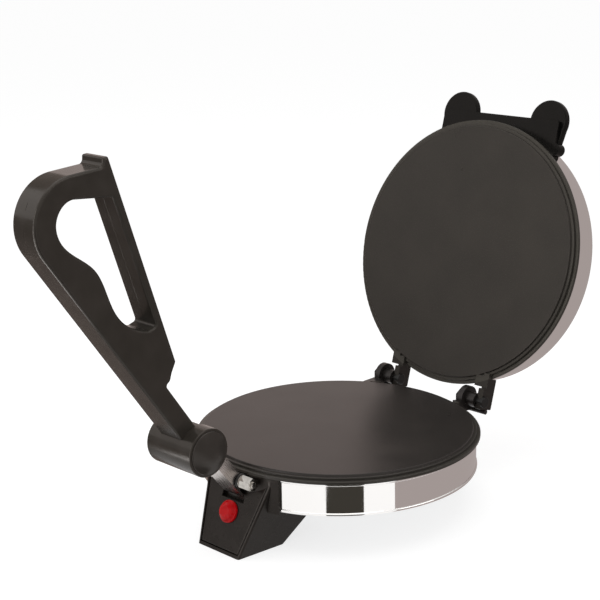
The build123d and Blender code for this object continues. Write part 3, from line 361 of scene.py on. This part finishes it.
plate_coating = non_stick("non-stick coating on cast aluminium", False, "#F4ECEA", 0.3)
surfaced("lower_cooking_plate", plate_coating)

# ---------------------------------------------------------------- heating pack
# Behind each plate: a wound mica sheet, a ceramic fibre board and a pressed sheet plate on four screws.
# The thermostat is behind the lower plate and the fuse behind the upper one. The shells hide it all.
gloss_range = 0.05           # how far a finish's roughness varies each way
gloss_spots = 12             # how many spots wide its patches are


def plain(name, first, second, roughness, size, depth, metallic=0.0, level=0.5):
    """Two-toned finish with fine bumps, spots one size apart."""
    material, tree, output = new_material(name)
    place = closed_place(tree, False)
    spots = noise(tree, place, size, 3.0)
    colour = mixed(tree, spread(tree, spots, 0.0, 1.0), first, second)
    rough = spread(tree, noise(tree, place, gloss_spots * size), roughness - gloss_range,
                   roughness + gloss_range)
    principled(tree, output, Base_Color=colour, Roughness=rough, Metallic=metallic,
               Specular_IOR_Level=level, Normal=relief(tree, spots, depth))
    return material


# Mica flakes a few millimetres wide, straw-coloured with a waxy gloss.
mica = plain("mica sheet", "#A8966A", "#C8B88C", roughness=0.45, size=0.004, depth=0.00003)
# Felted ceramic fibre, white and quite matt.
fibre = plain("ceramic fibre board", "#E4E0D4", "#F4F2EA", roughness=0.9, size=0.0012, depth=0.0001)
# Hot-dipped zinc with spangles of about 6 mm, grey and dull.
galvanised = plain("galvanised sheet steel", "#9A9C9E", "#B8BABC", roughness=0.4, size=0.006,
                   depth=0.00001, metallic=1.0)
# Electroplated zinc, paler and with an even soft gloss.
zinc = plain("zinc-plated steel", "#ACACA8", "#C6C6C2", roughness=0.28, size=0.002,
             depth=0.000005, metallic=1.0)
# Fired steatite, off-white with a fine dry grain.
ceramic = plain("steatite", "#DEDACE", "#F0ECE2", roughness=0.6, size=0.0008, depth=0.00002)
dress(mica, "lower_heater", "upper_heater")
dress(fibre, "lower_insulation", "upper_insulation")
dress(galvanised, "lower_pressure_plate", "upper_pressure_plate")
dress(zinc, "lower_pack_screws", "upper_pack_screws", "thermostat_screws", "thermostat")
dress(ceramic, "thermal_fuse")

# ---------------------------------------------------------------- drum
# Stainless strip rolled into a band with a bead along each edge, buffed to a mirror. The buffing leaves
# very fine lines round it, which stretch its reflections a little upright.
drum_radius = 0.105
drum_wall = 0.0009
drum_top = -0.0056
drum_height = 0.0248
drum_bottom = drum_top - drum_height
drum_inner = drum_radius - drum_wall
bead_height = 0.0024
bead_stand = 0.0009
bead_steps = 8
flange_width = 0.006
flange_inner = drum_radius - flange_width
band_turns = 256
band_weld = 0.00001
buffing = 0.00035            # spacing of the buffing lines, coarser than the real 0.05 mm
buffing_depth = 0.0000006
smear_size = 0.03            # smears left by a cloth


def band(name, rings, lid):
    """Sheet of revolution: a circle extruded ring by ring through (radius, height), then walled."""
    radius, height = rings[0]
    bpy.ops.object.select_all(action="DESELECT")
    bpy.ops.mesh.primitive_circle_add(vertices=band_turns, radius=radius, location=(0, 0, height))
    piece = bpy.context.object
    piece.name = name
    bpy.ops.object.transform_apply(location=True, rotation=False, scale=False)
    bpy.ops.object.mode_set(mode="EDIT")
    bpy.ops.mesh.select_all(action="SELECT")
    for next_radius, next_height in rings[1:]:
        share = next_radius / radius
        bpy.ops.mesh.extrude_region_move(
            TRANSFORM_OT_translate={"value": (0, 0, next_height - height)})
        bpy.ops.transform.resize(value=(share, share, 1), center_override=(0, 0, next_height))
        radius, height = next_radius, next_height
    bpy.ops.mesh.select_all(action="SELECT")
    bpy.ops.mesh.remove_doubles(threshold=band_weld)
    bpy.ops.mesh.normals_make_consistent(inside=False)
    bpy.ops.object.mode_set(mode="OBJECT")
    if lid:
        turn = Matrix.Translation(hinge_axis) @ Matrix.Rotation(-open_angle, 4, "X")
        piece.matrix_world = turn @ Matrix.Translation(-hinge_axis)
        bpy.ops.object.transform_apply(location=True, rotation=True, scale=False)
    bpy.ops.object.shade_smooth_by_angle(angle=radians(40))
    return piece


def mirror_steel(name, lid):
    """Buffed stainless steel: bright, with faint lines round the band and a few smears."""
    material, tree, output = new_material(name)
    place = closed_place(tree, lid)
    lines = noise(tree, place, buffing, stretch=(0.02, 0.02, 1.0))
    smears = spread(tree, noise(tree, place, smear_size, 4.0), 0.03, 0.09)
    principled(tree, output, Base_Color="#F2F0EE", Metallic=1.0, Roughness=smears,
               Normal=relief(tree, lines, buffing_depth))
    return material


def bead_rings(low, high, outward):
    """Rolled bead between two heights: rings up its rounded outer side."""
    middle = (low + high) / 2
    half = abs(high - low) / 2
    turns = [pi * i / bead_steps for i in range(bead_steps + 1)]
    return [(outward + bead_stand * sin(turn), middle - half * cos(turn)) for turn in turns]


drum_rings = [(flange_inner, drum_bottom + drum_wall), (flange_inner, drum_bottom)]
drum_rings += bead_rings(drum_bottom, drum_bottom + bead_height, drum_radius)
drum_rings += bead_rings(drum_top - bead_height, drum_top, drum_radius)
drum_rings += [(drum_inner, drum_top), (drum_inner, drum_bottom + drum_wall),
               (flange_inner, drum_bottom + drum_wall)]
drum = band("drum", drum_rings, False)
drum.data.materials.append(mirror_steel("buffed stainless steel", False))
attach(drum, "base")
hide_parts("base_shell")

# ---------------------------------------------------------------- base cover, legs and pads
# Disc pressed from galvanised sheet, with radial vents, screwed to the bottom of the drum. Behind are
# two tapered phenolic legs on screws from inside the drum, with black rubber pads let into their feet.
sink_size = 0.025            # spacing of the slow waves in a moulding
sink_depth = 0.0002
mould_peel = 0.0009          # mould texture, coarser than the real 0.1 mm
mould_depth = 0.0000015


def moulded(name, dark, light, roughness, level=0.3):
    """Black phenolic from a polished mould: slow waves where it sank, and a gloss that varies."""
    material, tree, output = new_material(name)
    place = closed_place(tree, False)
    waves = noise(tree, place, sink_size)
    colour = mixed(tree, spread(tree, waves, 0.0, 1.0), dark, light)
    rough = spread(tree, noise(tree, place, sink_size / 2, 4.0), roughness - gloss_range,
                   roughness + gloss_range)
    sunk = relief(tree, waves, sink_depth)
    normal = relief(tree, noise(tree, place, mould_peel), mould_depth, sunk)
    principled(tree, output, Base_Color=colour, Roughness=rough, Normal=normal,
               Specular_IOR_Level=level, Specular_Tint="#EFE3DA")
    return material


leg_moulding = moulded("black phenolic leg moulding", "#1A1817", "#211F1D", roughness=0.35)
# Moulded rubber, matt with a fine grain.
rubber = plain("black rubber", "#121212", "#1A1A19", roughness=0.75, size=0.001, depth=0.00002)
dress(galvanised, "base_cover")
dress(zinc, "base_cover_screws", "leg_screws")
for node in ("rear_leg_left", "rear_leg_right"):
    surfaced(node, leg_moulding)
dress(rubber, "foot_pads")

# ---------------------------------------------------------------- control box
# Black phenolic moulding that is the front foot and holds the wiring, screwed on from inside the drum.
# A smooth panel closes its front, and rubber bushes line the ways of the wires and the supply lead.
box_moulding = moulded("black phenolic box moulding", "#181411", "#1F1B18", roughness=0.28, level=0.27)
for node in ("control_box", "control_panel"):
    surfaced(node, box_moulding, angle=25.0)
dress(zinc, "box_screws", "panel_screws")
dress(rubber, "wire_grommet", "cord_bush")
dress(ceramic, "terminal_block")

# ---------------------------------------------------------------- indicator lamp
# Domed lens moulded in red acrylic, dyed so deep that it looks solid when unlit. Behind it is a white
# nylon holder, clamped to the panel by a nut.
swirl_size = 0.004           # clouds in the dye
lens_red, tree, output = new_material("red acrylic")
swirl = noise(tree, closed_place(tree, False), swirl_size)
principled(tree, output, Base_Color=mixed(tree, spread(tree, swirl, 0.0, 1.0), "#E0121A", "#EC1C22"),
           Roughness=0.2, Specular_IOR_Level=0.12)
surfaced("indicator_lens", lens_red)
# Moulded nylon, white with a soft gloss.
nylon = plain("white nylon", "#D4D4CC", "#E4E4DE", roughness=0.5, size=0.001, depth=0.00001)
dress(nylon, "indicator_lamp", "indicator_nut")

# ---------------------------------------------------------------- lever bracket and pivot
# Bracket folded from steel sheet, screwed to the drum from inside. Its black powder coat is half matt
# with fine pimples. The lever turns on a bolt with washers and a nut, in bright nickel plating that is
# slightly warm and nearly a mirror.
black_steel = plain("black powder-coated steel", "#161615", "#222120", roughness=0.45, size=0.0008,
                    depth=0.00004)
bright = plain("bright nickel-plated steel", "#A9A5A0", "#C2BEB8", roughness=0.12, size=0.003,
               depth=0.000002, metallic=1.0)
surfaced("lever_bracket", black_steel)
dress(zinc, "lever_bracket_screws")
for node in ("pivot_bolt", "pivot_nut", "pivot_washers"):
    surfaced(node, bright)

# ---------------------------------------------------------------- lever link
# Channel folded from nickel-plated steel sheet, which joins the handle to the bracket. It is brushed
# along its length, and the marks draw its reflections out across it.
link_lean = radians(39)
brush = 0.0004               # spacing of the brush marks
brush_depth = 0.000006
tarnish = 0.02               # patches where the plating has dulled
link_steel, tree, output = new_material("brushed nickel-plated steel")
place = closed_place(tree, False)
along = add_node(tree, "Mapping", {"vector_type": "POINT"},
                 {"Vector": place, "Rotation": (-link_lean, 0, 0)}).outputs["Vector"]
marks = noise(tree, along, brush, 3.0, stretch=(1.0, 1.0, 0.03))
tone = spread(tree, noise(tree, along, tarnish), 0.0, 1.0)
principled(tree, output, Base_Color=mixed(tree, tone, "#9A928E", "#B4ACA8"), Metallic=1.0,
           Roughness=spread(tree, marks, 0.2, 0.36), Normal=relief(tree, marks, brush_depth))
surfaced("lever_link", link_steel)

# ---------------------------------------------------------------- handle
# Two black phenolic mouldings screwed together from the left, with the hand hole through them. The
# barrel at their foot turns on the link, round a steel pin under a domed cap at each end.
handle_moulding = moulded("black phenolic handle moulding", "#393530", "#413C37", roughness=0.2,
                          level=0.27)
for node in ("handle_left_half", "handle_right_half"):
    surfaced(node, handle_moulding, parting=0.0003)
cap_moulding = moulded("black phenolic cap moulding", "#3B3733", "#423D39", roughness=0.2)
surfaced("knuckle_caps", cap_moulding)
for node in ("handle_screws", "knuckle_pin", "knuckle_nut"):
    surfaced(node, zinc)

# ---------------------------------------------------------------- lid
# Deep-drawn stainless shell with a beaded rim, buffed like the drum and held by four screws. Under it
# is the upper plate, the lower one's twin, which hangs on the hinge bolts.
lid_rim = 0.0062
lid_height = 0.0264
lid_top = lid_rim + lid_height
lid_corner = 0.005
corner_steps = 6
inner_corner = lid_corner - drum_wall
inner_top = lid_top - drum_wall
inner_steps = 4
face_rings = (0.07, 0.035)   # rings that divide the lid's flat top
inner_ring = 0.05
axis_gap = 0.00002           # the rings end this far from the axis
lid_coating = non_stick("non-stick coating on the lid's plate", True, "#F0E6D8", 0.24)
surfaced("upper_cooking_plate", lid_coating)
outside = [(drum_radius - lid_corner * (1 - sin(a)), lid_top - lid_corner * (1 - cos(a)))
           for a in [radians(90 - 90 / corner_steps * i) for i in range(corner_steps + 1)]]
inside = [(drum_inner - inner_corner * (1 - sin(a)), inner_top - inner_corner * (1 - cos(a)))
          for a in [radians(90 / inner_steps * i) for i in range(inner_steps + 1)]]
lid_rings = [(drum_inner, lid_rim)] + bead_rings(lid_rim, lid_rim + bead_height, drum_radius) + outside
lid_rings += [(radius, lid_top) for radius in face_rings]
lid_rings += [(axis_gap, lid_top), (axis_gap, inner_top), (inner_ring, inner_top)]
lid_rings += inside + [(drum_inner, lid_rim)]
lid = band("lid", lid_rings, True)
lid.data.materials.append(mirror_steel("buffed stainless steel of the lid", True))
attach(lid, "lid")
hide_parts("lid_shell")
surfaced("lid_screws", zinc)

# ---------------------------------------------------------------- lid bracket
# Black phenolic moulding round the front of the lid, with two ears to lift it by. It is screwed on
# from inside the lid, and is a deeper black than the handle.
bracket_moulding = moulded("black phenolic bracket moulding", "#0F0F0E", "#151413", roughness=0.25,
                           level=0.1)
surfaced("lid_bracket", bracket_moulding)
dress(zinc, "lid_bracket_screws")

# ---------------------------------------------------------------- hinge bolts
# Steel bolts with low round heads, through the lugs of both plates, with a hexagon nut on each. They
# are blackened in an oil bath, which leaves them dark with a dull sheen.
blackened = plain("blackened steel", "#171615", "#211F1D", roughness=0.35, size=0.001, depth=0.00001,
                  level=0.2)
for node in ("hinge_bolts", "hinge_nuts"):
    surfaced(node, blackened)
